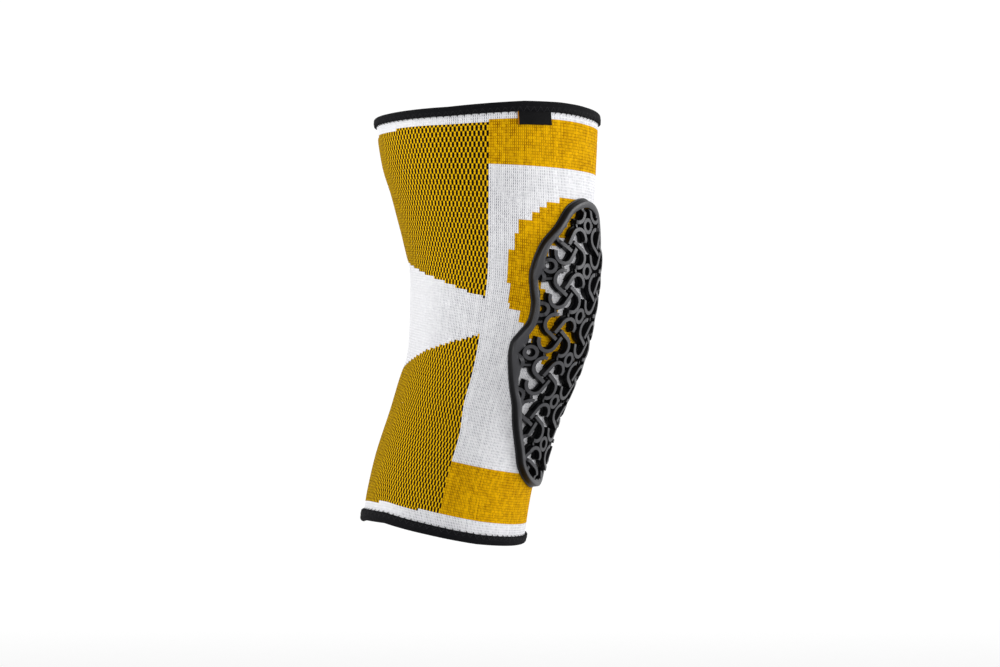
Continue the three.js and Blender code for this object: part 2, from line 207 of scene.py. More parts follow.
def add_object(name, points, edges=(), faces=()):
    """An object in the scene, at the origin, from points in its own units."""
    mesh = bpy.data.meshes.new(name)
    mesh.from_pydata(points.tolist(), edges, faces)
    piece = bpy.data.objects.new(name, mesh)
    bpy.context.scene.collection.objects.link(piece)
    return piece


def shade(piece, sharp):
    """Smooth faces, with sharp edges past that angle in degrees."""
    piece.data.shade_smooth()
    piece.data.set_sharp_from_angle(angle=math.radians(sharp))


def new_piece(name, points, faces, material, sharp=40):
    """A shaded piece from points in millimetres."""
    piece = add_object(name, np.asarray(points, float) * MM, faces=faces.tolist())
    piece.data.materials.append(material)
    shade(piece, sharp)
    return piece


def set_attribute(piece, name, values, domain="POINT", kind="FLOAT"):
    attribute = piece.data.attributes.new(name, kind, domain)
    key = "value" if kind == "FLOAT" else "vector"
    attribute.data.foreach_set(key, np.asarray(values, np.float32).ravel())


def read_all(items, key, kind=np.float32, width=1):
    """One property of every item of a mesh, as an array."""
    values = np.empty(len(items) * width, kind)
    items.foreach_get(key, values)
    return values.reshape(-1, width) if width > 1 else values


def ring_faces(rows, columns, closed_rows=True, closed_columns=True):
    """Quads of a grid of points that is stored row by row."""
    row_count = rows if closed_rows else rows - 1
    column_count = columns if closed_columns else columns - 1
    i, j = np.meshgrid(np.arange(row_count), np.arange(column_count), indexing="ij")
    next_i, next_j = (i + 1) % rows, (j + 1) % columns
    quads = (i * columns + j, i * columns + next_j, next_i * columns + next_j, next_i * columns + j)
    return np.stack(quads, axis=-1).reshape(-1, 4)


def even_steps(count):
    return np.arange(count + 1) / count


def set_grid_uv(piece, u, v):
    """UV of a grid made by ring_faces, from the values at its cells' edges."""
    pairs = np.empty((len(v) - 1, len(u) - 1, 4, 2), np.float32)
    pairs[..., 0] = np.stack((u[:-1], u[1:], u[1:], u[:-1]), axis=-1)
    pairs[..., 1] = np.stack((v[:-1], v[:-1], v[1:], v[1:]), axis=-1)[:, None]
    layer = piece.data.uv_layers.new(name="UVMap")
    layer.uv.foreach_set("vector", pairs.ravel())


def face_outwards(piece, close=False):
    """Turns all faces out, after closing the open ends or welding the seams."""
    shell = bmesh.new()
    shell.from_mesh(piece.data)
    if close:
        bmesh.ops.holes_fill(shell, edges=[edge for edge in shell.edges if edge.is_boundary])
    else:
        bmesh.ops.remove_doubles(shell, verts=shell.verts, dist=WELD_DISTANCE)
    bmesh.ops.recalc_face_normals(shell, faces=shell.faces)
    shell.to_mesh(piece.data)
    shell.free()


def stand_for(piece, node):
    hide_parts(node)
    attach(piece, BODY)


# ---- Nodes -------------------------------------------------------------------


def feed(tree, socket, value):
    """Links another socket to this one, or gives it a constant."""
    value = getattr(value, "socket", value)
    if isinstance(value, bpy.types.NodeSocket):
        tree.links.new(value, socket)
    else:
        socket.default_value = value


def add_node(tree, kind, settings, sockets):
    """A new node, with its sockets fed by their places or labels."""
    node = tree.nodes.new(kind)
    for key, value in (settings or {}).items():
        setattr(node, key, value)
    for place, value in sockets:
        feed(tree, node.inputs[place], value)
    return node


# ---- Geometry Nodes ----------------------------------------------------------


class Tree:
    """A Geometry Nodes tree with named inputs, built node by node."""

    def __init__(self, name, **inputs):
        self.tree = bpy.data.node_groups.new(name, "GeometryNodeTree")
        add = self.tree.interface.new_socket
        add(name="Geometry", in_out="INPUT", socket_type="NodeSocketGeometry")
        add(name="Geometry", in_out="OUTPUT", socket_type="NodeSocketGeometry")
        self.keys = {
            label: add(name=label, in_out="INPUT", socket_type=f"NodeSocket{kind}").identifier
            for label, kind in inputs.items()
        }
        self.entry = self.tree.nodes.new("NodeGroupInput")
        self.end = self.tree.nodes.new("NodeGroupOutput")

    def given(self, label):
        return self.entry.outputs[label]

    def node(self, kind, settings=None, **sockets):
        """Adds a node and gives back its first output."""
        labelled = [(key.replace("_", " "), value) for key, value in sockets.items()]
        return add_node(self.tree, kind, settings, labelled).outputs[0]

    def finish(self, geometry):
        """Ends the tree as the export needs: real geometry with a material."""
        real = self.node("GeometryNodeRealizeInstances", Geometry=geometry)
        dressed = self.node(
            "GeometryNodeSetMaterial", Geometry=real, Material=self.given("Material")
        )
        self.tree.links.new(dressed, self.end.inputs["Geometry"])
        return self

    def apply_to(self, piece, **values):
        """Runs the tree on a piece and leaves the result as its plain mesh."""
        modifier = piece.modifiers.new(self.tree.name, "NODES")
        modifier.node_group = self.tree
        for label, value in values.items():
            modifier[self.keys[label]] = value
        graph = bpy.context.evaluated_depsgraph_get()
        mesh = bpy.data.meshes.new_from_object(piece.evaluated_get(graph))
        piece.modifiers.remove(modifier)
        piece.data = mesh


def band_tree():
    """Sweeps a soft-cornered bar along every line of a flat drawing."""
    tree = Tree("Moulded Bands", Width="Float", Height="Float", Corner="Float", Material="Material")
    section = tree.node(
        "GeometryNodeCurvePrimitiveQuadrilateral",
        {"mode": "RECTANGLE"},
        Width=tree.given("Width"),
        Height=tree.given("Height"),
    )
    eased = tree.node(
        "GeometryNodeFilletCurve",
        {"mode": "POLY"},
        Curve=section,
        Radius=tree.given("Corner"),
        Count=2,
    )
    lines = tree.node("GeometryNodeMeshToCurve", Mesh=tree.given("Geometry"))
    upright = tree.node("GeometryNodeSetCurveNormal", {"mode": "Z_UP"}, Curve=lines)
    bands = tree.node(
        "GeometryNodeCurveToMesh", Curve=upright, Profile_Curve=eased, Fill_Caps=True
    )
    return tree.finish(bands)


def thread_tree():
    """Puts a short length of thread on every point, along its own direction."""
    tree = Tree("Thread Stitches", Radius="Float", Material="Material")
    core = tree.node("GeometryNodeCurvePrimitiveLine", Start=(0, 0, -0.5), End=(0, 0, 0.5))
    section = tree.node(
        "GeometryNodeCurvePrimitiveCircle", Resolution=6, Radius=tree.given("Radius")
    )
    strand = tree.node(
        "GeometryNodeCurveToMesh", Curve=core, Profile_Curve=section, Fill_Caps=True
    )
    named = "GeometryNodeInputNamedAttribute"
    heading = tree.node(named, {"data_type": "FLOAT_VECTOR"}, Name="heading")
    length = tree.node(named, {"data_type": "FLOAT"}, Name="length")
    placed = tree.node(
        "GeometryNodeInstanceOnPoints",
        Points=tree.given("Geometry"),
        Instance=strand,
        Rotation=tree.node("FunctionNodeAlignRotationToVector", {"axis": "Z"}, Vector=heading),
        Scale=tree.node("ShaderNodeCombineXYZ", X=1.0, Y=1.0, Z=length),
    )
    return tree.finish(placed)


# ---- Shader maths ------------------------------------------------------------


def maths(operation, swapped=False, **settings):
    """A method of Number that adds one Math node."""

    def method(number, *others):
        values = (*others, number) if swapped else (number, *others)
        return number.shader.number(
            0, "ShaderNodeMath", {"operation": operation, **settings}, *values
        )

    return method


class Number:
    """A shader socket that adds Math nodes when it is used in a Python sum."""

    def __init__(self, shader, socket):
        self.shader, self.socket = shader, socket

    __add__ = maths("ADD")
    __sub__ = maths("SUBTRACT")
    __rsub__ = maths("SUBTRACT", swapped=True)
    __mul__ = maths("MULTIPLY")
    __truediv__ = maths("DIVIDE")
    __pow__ = maths("POWER")
    __mod__ = maths("FLOORED_MODULO")
    __abs__ = maths("ABSOLUTE")
    floor = maths("FLOOR")
    sine = maths("SINE")
    over = maths("GREATER_THAN")
    clamped_sum = maths("ADD", use_clamp=True)

    def clamp(self):
        return self.clamped_sum(0.0)

    def wave(self, count):
        """Runs from 0 to 1 and back, count times while the number grows by 1."""
        return (self * (count * 2 * math.pi)).sine() * 0.5 + 0.5


class Shader:
    """A material built around one Principled BSDF."""

    def __init__(self, name, **constants):
        self.material = bpy.data.materials.new(name)
        self.material.use_nodes = True
        self.tree = self.material.node_tree
        self.surface = self.tree.nodes["Principled BSDF"]
        for label, value in constants.items():
            self.set(label.replace("_", " "), value)

    def set(self, label, value):
        feed(self.tree, self.surface.inputs[label], value)

    def node(self, kind, settings=None, *values, **named):
        return add_node(self.tree, kind, settings, (*enumerate(values), *named.items()))

    def number(self, output, *arguments, **named):
        """Adds a node and gives back one of its outputs."""
        return Number(self, self.node(*arguments, **named).outputs[output])

    def attribute(self, name):
        return self.number("Fac", "ShaderNodeAttribute", {"attribute_name": name})

    def x_and_y(self, vector):
        parts = self.node("ShaderNodeSeparateXYZ", None, vector).outputs
        return Number(self, parts["X"]), Number(self, parts["Y"])

    def uv(self):
        return self.x_and_y(self.node("ShaderNodeUVMap", {"uv_map": "UVMap"}).outputs["UV"])

    def place(self):
        return self.node("ShaderNodeTexCoord").outputs["Object"]

    def noise(self, scale, detail=2.0):
        return self.number(
            "Fac", "ShaderNodeTexNoise", Vector=self.place(), Scale=scale, Detail=detail
        )

    def per_cell(self, across, along):
        """One random value for each cell of a grid."""
        cell = self.node("ShaderNodeCombineXYZ", None, across.floor(), along.floor(), 0.0)
        flat = {"noise_dimensions": "2D"}
        return self.number("Value", "ShaderNodeTexWhiteNoise", flat, cell.outputs[0])

    def blend(self, share, first, second):
        """A colour between two, each a socket or a plain colour."""
        mixer = self.node("ShaderNodeMix", {"data_type": "RGBA", "clamp_factor": True}, share)
        for place, colour in ((6, first), (7, second)):
            linked = isinstance(colour, bpy.types.NodeSocket)
            feed(self.tree, mixer.inputs[place], colour if linked else (*colour, 1.0))
        return mixer.outputs[2]

    def bump(self, height, distance):
        node = self.node("ShaderNodeBump", Height=height, Distance=distance, Strength=1.0)
        self.set("Normal", node.outputs["Normal"])


# Wales from the leg's back where the painted shade in the gaps between stitches
# starts to show, and how many more it takes until it all does
GAPS_START, GAPS_SPREAD = 98.0, 26.0


def knit_material(settings):
    shader = Shader("Jacquard Knit", Roughness=0.9, Specular_IOR_Level=0.02)
    u, v = shader.uv()
    wale, course = u * settings.wales, v * settings.courses
    across, along = wale % 1.0, course % 1.0
    yellow, black = shader.attribute("yellow"), shader.attribute("black")
    jacquard = shader.attribute("jacquard")
    away = abs(across - 0.5) * 2.0
    along_block = abs((course / 2.0) % 1.0 - 0.5) * 2.0
    mid_stitch = wale + 0.5

    # Painted shade in the gaps and grooves of the plain knit, stronger in some wales and stitches
    cell = shader.per_cell(mid_stitch, course)
    unevenness = shader.per_cell(mid_stitch, course * 0.0) * 0.4 + cell * 0.4
    side = abs(u - 0.5) * settings.wales
    plainness = ((GAPS_START - side) / GAPS_SPREAD).clamp() * 0.85 + 0.15
    strength = (unevenness + shader.noise(90.0, 3.0) * 0.8 - 0.2).clamp() * plainness
    dash = ((away - 0.42) * 3.0).clamp() * (1.9 - abs(along - 0.5) * 4.2).clamp()
    groove = ((abs(along - 0.5) * 2.0 - 0.5) * 2.2).clamp() * (cell * 0.5 + strength * 0.6)
    painted_gap_shade = (dash * (strength * 0.9 + plainness * 0.1) + groove * (yellow * 0.85 + 0.08)).clamp()

    # Yarns, and the raised blocks of the two-colour knit, each with a painted highlight on its
    # crown and painted shade at its edges and waist
    cover = shader.per_cell(wale, course)
    white_yarn = shader.blend(cover * 0.35, settings.white, settings.white_shade)
    yellow_yarn = shader.blend(cover * 0.7, settings.yellow, settings.yellow_shade)
    yarn = shader.blend(yellow, white_yarn, yellow_yarn)
    # Painted shade colour for the gaps between stitches
    gap = shader.blend(yellow, settings.white_gap_shade, settings.yellow_gap_shade)
    plain = shader.blend(painted_gap_shade, yarn, gap)
    waist = 1.0 - (along_block * 3.0).clamp()
    # Painted highlight on the crown of each raised yellow block
    crown = (1.0 - away**2.0) * (1.0 - waist * 0.6)
    lobe = shader.blend(crown, yellow_yarn, settings.yellow_lit)
    # Painted shade at each block's edges and waist, in the gap shade colour
    edge = (away**4.0) * 0.55 + (along_block**8.0) * 0.35 + waist * away * 0.5
    capsule = shader.blend(edge.clamp(), lobe, settings.yellow_gap_shade)
    solid = shader.blend(jacquard, plain, capsule)
    hollow = ((1.0 - (away * 0.97) ** 4.0 - (along_block * 0.97) ** 6.0) * 5.0).clamp() * black
    shader.set("Base Color", shader.blend(hollow, solid, settings.black))

    # The two legs of each stitch, with the yarn's slant on them
    leg = 1.0 - (abs(away - 0.5) * 2.0) ** 2.0
    slant = (along + away * 0.35).wave(1)
    height = leg * (slant * 0.5 + 0.5) - painted_gap_shade * 0.8 - hollow * 1.5 - edge * jacquard * 0.6
    shader.bump(height, 0.0003)
    return shader.material


def tape_material(settings):
    shader = Shader("Elastic Tape", Roughness=0.8, Specular_IOR_Level=0.06)
    u, v = shader.uv()
    weave = u.wave(settings.ribs) * v.wave(26)
    lint = ((shader.noise(2600.0) - 0.67) * 14.0).clamp()
    # Painted highlight on the raised ribs of the weave
    base_tone = shader.blend(weave * 0.5, settings.colour, settings.colour_lit)
    shader.set("Base Color", shader.blend(lint * 0.35, base_tone, settings.lint))
    shader.bump(weave + shader.noise(1800.0) * 0.5, 0.00015)
    return shader.material


def thread_material(settings):
    shader = Shader("Polyester Thread", Roughness=0.5, Specular_IOR_Level=0.08)
    twist = (shader.noise(5000.0, 1.0) * 1.6 - 0.3).clamp()
    shader.set("Base Color", shader.blend(twist, settings.thread, settings.thread_lit))
    shader.bump(twist, 0.00005)
    return shader.material


def rubber_material(settings):
    """Near black on the walls as painted shade, greyer and faintly polished on the crests."""
    roughness = settings.roughness
    shader = Shader("Moulded Rubber", Specular_IOR_Level=0.1, Coat_Roughness=roughness + 0.05)
    crest = shader.attribute("crest")
    cloud = shader.noise(60.0, 3.0)
    dust = ((shader.noise(260.0, 4.0) - 0.55) * 3.0).clamp()
    tone = shader.blend(cloud, settings.rubber, settings.rubber_lit)
    base_tone = shader.blend(dust * 0.12, tone, settings.dust)
    # The walls take the painted shade colour, and the crests keep the rubber's own tone
    shader.set("Base Color", shader.blend(crest, settings.rubber_wall_shade, base_tone))
    shader.set("Roughness", cloud * 0.16 + dust * 0.1 + roughness)
    shader.set("Coat Weight", crest * (0.2 - dust * 0.12))
    shader.bump(shader.noise(3500.0) + cloud * 0.5, 0.00004)
    return shader.material


def woven_material(settings):
    shader = Shader("Woven Tag", Roughness=0.6, Specular_IOR_Level=0.05)
    u, v = shader.uv()
    warp, weft = u.wave(90), v.wave(70)
    cloth = shader.blend(warp * weft, settings.colour, settings.colour_lit)
    selvedge = (0.02 - u).over(0.0)
    shader.set("Base Color", shader.blend(selvedge, cloth, settings.selvedge))
    shader.bump(warp + weft, 0.00008)
    return shader.material


# ---- Knit --------------------------------------------------------------------

# How far a wale's turn runs ahead of its even place, in degrees at the side of
# the leg, because the knit stretches more over the kneecap
WALE_DRIFT = (
    (-160.0, -1.9), (-142.8, -1.6), (-112.0, -1.6), (-96.5, -1.5), (-90.0, -0.9),
    (-71.7, 2.7), (-47.0, 5.0), (-31.5, 5.6), (-8.5, 5.2), (5.0, 4.1), (21.0, 2.5),
    (46.0, -0.6), (73.4, -4.0), (99.0, -5.4), (112.0, -5.6),
)

FRONT_WALES = 58
TOP_STRIP, TOP_BAND = 152, 136
BOTTOM_BAND, BOTTOM_STRIP = 28, 8

# Rows at each hem, under the tapes, where the knit stays flat
HEM_ROWS = 3

# Kneecap ring and the white inside it: first and last course of each step, and
# half its width in wales
RING_OUTER = (
    (68, 70, 20), (70, 73, 26), (73, 76, 30), (76, 81, 36), (81, 85, 39), (85, 87, 45),
    (87, 94, 46), (94, 106, 48), (106, 112, 45), (112, 117, 43), (117, 120, 36),
    (120, 122, 32), (122, 124, 28), (124, 126, 20),
)
RING_INNER = (
    (84, 86, 10), (86, 88, 17), (88, 91, 22), (91, 94, 27), (94, 104, 30),
    (104, 109, 27), (109, 112, 20), (112, 114, 10),
)

# Edges of the upper and of the lower jacquard: wale from the front, and course
UPPER_JACQUARD = ((58, 87.4), (65, 88.0), (80, 90.2), (97, 92.4), (129, 97.2), (160, 100.5))
LOWER_JACQUARD = (
    (58, 73.9), (65.7, 71.3), (78, 67.5), (91.5, 63.8), (108, 59.0), (119.5, 56.1),
    (160, 50.0),
)
JACQUARD_HEAD = ((58, 151.0), (97, 150.9), (129, 149.4), (160, 149.0))
JACQUARD_FOOT = ((58, 8.0), (81, 7.2), (129, 5.7), (160, 5.0))


def inside_steps(wale, course, steps):
    """Stitches inside a stepped round edge."""
    inside = np.zeros(wale.shape, bool)
    for first, last, half in steps:
        inside |= (course > first) & (course < last) & (wale < half)
    return inside


def knit_pattern(wales, courses):
    """Yarn of every stitch: where it is yellow, black, and jacquard."""
    number = np.arange(wales)
    wale = np.abs(number - wales // 2 + 0.5)
    course = np.arange(courses) + 0.5
    wale_at, course_at = np.meshgrid(wale, course)
    front = wale_at < FRONT_WALES
    ring = inside_steps(wale_at, course_at, RING_OUTER)
    ring &= ~inside_steps(wale_at, course_at, RING_INNER)
    bands = (course_at > TOP_BAND) & (course_at < TOP_STRIP)
    bands |= (course_at > BOTTOM_STRIP) & (course_at < BOTTOM_BAND)
    upper, lower, head, foot = (
        read_off(edge, wale_at)
        for edge in (UPPER_JACQUARD, LOWER_JACQUARD, JACQUARD_HEAD, JACQUARD_FOOT)
    )
    checker = (number[None, :] + (course_at // 2).astype(int)) % 2 == 0
    jacquard = (course_at > upper) & (course_at < head)
    jacquard |= (course_at > foot) & (course_at < lower)
    jacquard &= ~front
    black = jacquard & checker
    yellow = (front & (bands | ring)) | (jacquard & ~checker)
    return yellow, black, jacquard


def blurred(values, passes):
    """Softens a grid that closes across its wales."""
    for _ in range(passes):
        values = (np.roll(values, 1, 1) + 2 * values + np.roll(values, -1, 1)) / 4
        padded = np.pad(values, ((1, 1), (0, 0)), mode="edge")
        values = (padded[:-2] + 2 * padded[1:-1] + padded[2:]) / 4
    return values


def wale_turns(wale, level, wales):
    even = (wale / wales - 0.5) * 360
    drift = smooth_table(WALE_DRIFT, level)[0]
    return even + drift * np.sin(np.radians(even))


def knit_relief(jacquard, settings):
    """How far the two-colour knit stands out, with soft borders and flat hems."""
    thick = blurred(jacquard.astype(float), 3)
    thick = np.vstack((thick[:1], (thick[1:] + thick[:-1]) / 2, thick[-1:]))
    thick = (thick + np.roll(thick, 1, 1)) / 2
    row = np.arange(len(thick))[:, None]
    clear = np.clip((np.minimum(row, len(thick) - 1 - row) - HEM_ROWS) / 2, 0, 1)
    return thick * clear * settings.jacquard_rise / MM


def make_knit(settings):
    wales, courses, inner_rows = settings.wales, settings.courses, settings.inner_rows
    yellow, black, jacquard = knit_pattern(wales, courses)

    def wall(rows, out):
        level = mix(KNIT_BOTTOM, KNIT_TOP, even_steps(rows))[:, None]
        wale, level = np.broadcast_arrays(np.arange(wales), level)
        return skin(level, wale_turns(wale, level, wales), out).reshape(-1, 3)

    inner = wall(inner_rows, -KNIT_THICKNESS).reshape(-1, wales, 3)[::-1]
    points = np.vstack((wall(courses, knit_relief(jacquard, settings)), inner.reshape(-1, 3)))
    rows = courses + inner_rows + 2
    faces = ring_faces(rows, wales)
    piece = new_piece("jacquard_sleeve", points, faces, knit_material(settings), sharp=75)

    # The lining runs back down inside, with its colours swapped in the jacquard
    back_down = courses - even_steps(inner_rows) * courses
    course = np.concatenate((np.arange(courses + 1), back_down, [0]))
    set_grid_uv(piece, even_steps(wales), course / courses)
    stitch_row = np.clip(np.floor((course[:-1] + course[1:]) / 2), 0, courses - 1).astype(int)
    yellow, black, jacquard = yellow[stitch_row], black[stitch_row], jacquard[stitch_row]
    swapped = (np.arange(rows) >= courses)[:, None] & jacquard
    set_attribute(piece, "yellow", np.where(swapped, black, yellow), "FACE")
    set_attribute(piece, "black", np.where(swapped, yellow, black), "FACE")
    set_attribute(piece, "jacquard", jacquard, "FACE")
    stand_for(piece, "knit_sleeve")


# ---- Tapes and tag -----------------------------------------------------------

OUTER_FACE = SEAM_GAP + TAPE_THICKNESS
INNER_FACE = -KNIT_THICKNESS - SEAM_GAP - TAPE_THICKNESS

# Points round the tape, and how far it eases, swells and is drawn in at its hem
TAPE_STEPS, FOLD_STEPS = 420, 12
HEM_EASE, HEM_LIP = 0.35, 0.05
SEAM_REACH, SEAM_SWELL = 1.6, 0.12
SCALLOP_DROP, SCALLOP_DENT = 0.08, 0.12

# One zigzag: distance up from the hem, out from the knit, and share of its pitch
ZIGZAG = (
    (-0.8, 0.25, 0.0),
    (0.12, OUTER_FACE + 0.06, 0.08),
    (2.7, OUTER_FACE + 0.12, 0.5),
    (0.12, OUTER_FACE + 0.06, 0.92),
)
THREAD_OVERLAP = 1.06
def tape_profile(edge, height, direction):
    """Section of a folded tape: (level, out), from the outer hem over the fold."""
    radius, middle = (OUTER_FACE - INNER_FACE) / 2, (OUTER_FACE + INNER_FACE) / 2
    angles = np.linspace(0, math.pi, FOLD_STEPS + 1)
    fold = np.stack((height - radius + radius * np.sin(angles), middle + radius * np.cos(angles)))
    lining, crown = -KNIT_THICKNESS - SEAM_GAP, height - TAPE_THICKNESS - 0.1
    corners = np.array(
        (
            (0, SEAM_GAP + HEM_LIP),
            (0, OUTER_FACE - HEM_EASE),
            (HEM_EASE, OUTER_FACE),
            (SEAM_REACH, OUTER_FACE + SEAM_SWELL),
            *fold.T,
            (HEM_EASE, INNER_FACE),
            (0, INNER_FACE + HEM_EASE),
            (0, lining - HEM_LIP),
            (crown, lining),
            (crown, SEAM_GAP),
        )
    )
    corners[:, 0] = edge + direction * (corners[:, 0] - height)
    return corners


def make_tape(name, node, edge, height, direction, settings):
    profile = tape_profile(edge, height, direction)
    turn = even_steps(TAPE_STEPS)[:-1] * 360
    stitch = np.cos(np.radians(turn) * settings.stitches_round(edge))
    level, out = profile[:, :1], profile[:, 1:]
    hem = edge - direction * height
    near_hem = np.exp(-(((level - hem) / SEAM_REACH) ** 2)) * (out > 0)
    level = level - direction * near_hem * stitch**3 * SCALLOP_DROP
    out = out - near_hem * (0.5 + 0.5 * stitch) * SCALLOP_DENT
    points = skin(level, turn, out).reshape(-1, 3)
    faces = ring_faces(len(profile), TAPE_STEPS)
    if direction > 0:
        faces = faces[:, ::-1]
    piece = new_piece(name, points, faces, tape_material(settings), sharp=60)
    set_grid_uv(piece, even_steps(TAPE_STEPS), even_steps(len(profile)))
    face_outwards(piece)
    stand_for(piece, node)


def make_stitches(name, edge, height, direction, settings):
    """Zigzag seam over the tape's hem, with its turns caught in the knit."""
    count = settings.stitches_round(edge)
    up, out, share = np.tile(ZIGZAG, (count, 1)).T
    turn = (np.repeat(np.arange(count), len(ZIGZAG)) + share) * 360 / count
    points = skin(edge + direction * (up - height), turn, out) * MM
    way = np.roll(points, -1, axis=0) - points
    piece = add_object(name, points + way / 2)
    set_attribute(piece, "heading", way, kind="FLOAT_VECTOR")
    set_attribute(piece, "length", np.linalg.norm(way, axis=1) * THREAD_OVERLAP)
    thread = thread_material(settings)
    thread_tree().apply_to(piece, Radius=settings.thread_radius, Material=thread)
    piece.data.shade_smooth()
    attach(piece, BODY)


TAG_TURN = -37.0
TAG_WIDTH = 21.5
TAG_DROP = 8.0
TAG_TOP = REACH_ABOVE - 5.2 - SEAM_GAP
TAG_THICKNESS = 0.9
TAG_COLUMNS, TAG_ROWS = 28, 12

# Rounded foot of the tag: share of its drop, and of its thickness
TAG_FOOT = ((1.03, 0.75), (1.03, 0.25))
def make_tag(settings):
    """Small folded tag: a thin slab with a rounded fold, lifted at its foot."""
    half = float(turn_at(np.array([TAG_TOP]), np.array([TAG_WIDTH / 2]))[0])
    turn = np.linspace(TAG_TURN - half, TAG_TURN + half, TAG_COLUMNS)
    down = np.linspace(0, 1, TAG_ROWS)
    front = np.stack((down, np.ones(TAG_ROWS)), axis=-1)
    profile = np.vstack((front, TAG_FOOT, front[::-1] * (1, 0)))
    share, depth = profile[:, :1], profile[:, 1:] * TAG_THICKNESS
    across = np.linspace(-1, 1, TAG_COLUMNS)
    lift = 0.9 * np.clip(share, 0, 1) ** 2 + 0.35 * share * np.abs(across) ** 3
    level = TAG_TOP - share * TAG_DROP + 0.15 * share * across
    points = skin(level, turn, SEAM_GAP + depth + lift).reshape(-1, 3)
    faces = ring_faces(len(profile), TAG_COLUMNS, closed_columns=False)
    piece = new_piece("woven_tag", points, faces, woven_material(settings), sharp=50)
    set_grid_uv(piece, even_steps(TAG_COLUMNS - 1), even_steps(len(profile)))
    face_outwards(piece, close=True)
    stand_for(piece, "side_label")


# ---- Guard -------------------------------------------------------------------

GUARD_WIDTH = 98.0
GUARD_UP, GUARD_DOWN = 64.4, 125.5
GUARD_CLEARANCE = 0.5
TIP_SWING = 15.0
RIM_WIDTH = 7.0
PITCH_ACROSS, PITCH_ALONG = 31.2, 28.45
ROW_OFFSET = 4.2
LATTICE_OFFSET = -2.5
LOBE_RADIUS = 6.2
LOBE_CENTRE = np.array((1.06, 0.84)) * LOBE_RADIUS
HOOK_START, HOOK_END = -15.0, 150.0
HOOK_STEPS, RING_STEPS, OUTLINE_POINTS = 18, 28, 320

# How far a hook's head is lowered at its first two points, the points of its
# straight tail, and the shares of its height that are left at the last three,
# where it runs under the next hook
HEAD_FALL = (0.5, 0.15)
HOOK_TAIL = np.array((0.5, 0.95, 1.2, 1.34, 1.37, 1.41, 1.55)) * LOBE_RADIUS
TAIL_FALL = np.array((0.7, 0.42, 0.4))

# Shares of the full height: low links, spokes round the rings, web under hooks,
# under rings and under links
LINK_SHARE, SPOKE_SHARE = 0.58, 0.8
HOOK_WEB, RING_WEB, LINK_WEB = 0.4, 0.7, 0.6
RING_DROP = 0.35
LINK_OVERLAP = 1.2

# Points of a hook that the web follows: its bend and the start of its tail
WEB_POINTS = 20
RING_RADIUS = 3.9

# Half outline: share of the reach up or down, and share of half the width
GUARD_SHARES = (
    (1.0, 0.0), (0.91, 0.35), (0.7, 0.568), (0.51, 0.785), (0.35, 0.875), (0.18, 0.915),
    (0.02, 0.885), (-0.065, 0.837), (-0.15, 0.843), (-0.21, 0.917), (-0.27, 0.987),
    (-0.33, 0.98), (-0.4, 0.925), (-0.51, 0.806), (-0.6, 0.695), (-0.71, 0.612),
    (-0.81, 0.53), (-0.9, 0.455), (-0.965, 0.29), (-1.0, 0.0),
)

# Width of the rim against the distance up the guard
RIM_REACH = (
    (-73, 5.3), (-67, 4.3), (-59, 5.2), (-52, 7.2), (-42, 5.0), (-35.5, 9.3),
    (-30, 6.5), (-21, 5.3), (0, 4.8), (8, 4.9), (18, 9.0), (24, 6.6), (31, 5.6),
    (38, 5.2), (50, 5.2), (64, 6.0),
)
RIM_SHOULDER = 1.7

# How far the lattice runs in under the rim, its most height there, the most
# anywhere, and the distance between the two
RIM_OVERLAP = 2.0
RIM_MEETING, NO_LIMIT, MEETING_SLOPE = 3.9, 9.0, 3.5
SHARP_ANGLE = 32

# Search for the room inside the outline: step, least distance and tolerance
ROOM_STEP, ROOM_LEAST, ROOM_SHARE = 0.25, 0.4, 0.97

# Sideways drift of the lattice against the distance up the guard
LATTICE_SWAY = (
    (-100, 0.0), (-70, -0.6), (-48, -1.8), (-24, -2.6), (-5, -0.8), (20, 0.3),
    (45, 0.8),
)

# Rim section from its outer foot to its inner foot: distance in, height
RIM_SECTION = (
    (0.0, 0.0), (0.0, 0.55), (0.15, 0.7), (0.6, 0.75), (0.75, 1.0), (1.3, 2.9),
    (1.75, 4.1), (2.1, 4.55), (2.6, 4.7), (4.4, 4.5), (6.2, 4.15), (6.75, 3.9),
    (7.0, 3.4), (7.0, 0.0),
)
# How much of each section point keeps the rubber's own tone; the rest takes the painted wall shade
RIM_CREST = (0.0, 0.2, 0.5, 0.4, 0.0, 0.0, 0.15, 0.8, 1.0, 1.0, 1.0, 0.8, 0.2, 0.0)


def closed_curve(points, samples):
    """Even points on a closed centripetal curve through the given ones."""
    count = len(points)
    dense = []
    share = np.linspace(0, 1, 24, endpoint=False)[:, None]
    for i in range(count):
        a, b, c, d = (points[(i + k) % count] for k in (-1, 0, 1, 2))
        gaps = (b - a, c - b, d - c)
        first, middle, last = (math.sqrt(np.linalg.norm(gap)) for gap in gaps)
        start = ((b - a) / first - (c - a) / (first + middle) + (c - b) / middle) * middle
        end = ((c - b) / middle - (d - b) / (middle + last) + (d - c) / last) * middle
        cubic = 2 * b - 2 * c + start + end
        square = -3 * b + 3 * c - 2 * start - end
        dense.append(b + start * share + square * share**2 + cubic * share**3)
    dense = np.vstack(dense)
    loop = np.vstack((dense, dense[:1]))
    walked = np.concatenate(([0], np.cumsum(np.linalg.norm(np.diff(loop, axis=0), axis=1))))
    at = np.linspace(0, walked[-1], samples, endpoint=False)
    return np.stack([np.interp(at, walked, loop[:, k]) for k in (0, 1)], axis=-1)


def guard_outline():
    """Outline of the guard, drawn flat, anticlockwise from its top."""
    half = [
        np.array((across * GUARD_WIDTH / 2, up * (GUARD_UP if up > 0 else GUARD_DOWN)))
        for up, across in GUARD_SHARES
    ]
    mirrored = [np.array((-x, y)) for x, y in half[-2:0:-1]]
    return closed_curve(half + mirrored, OUTLINE_POINTS)[::-1]


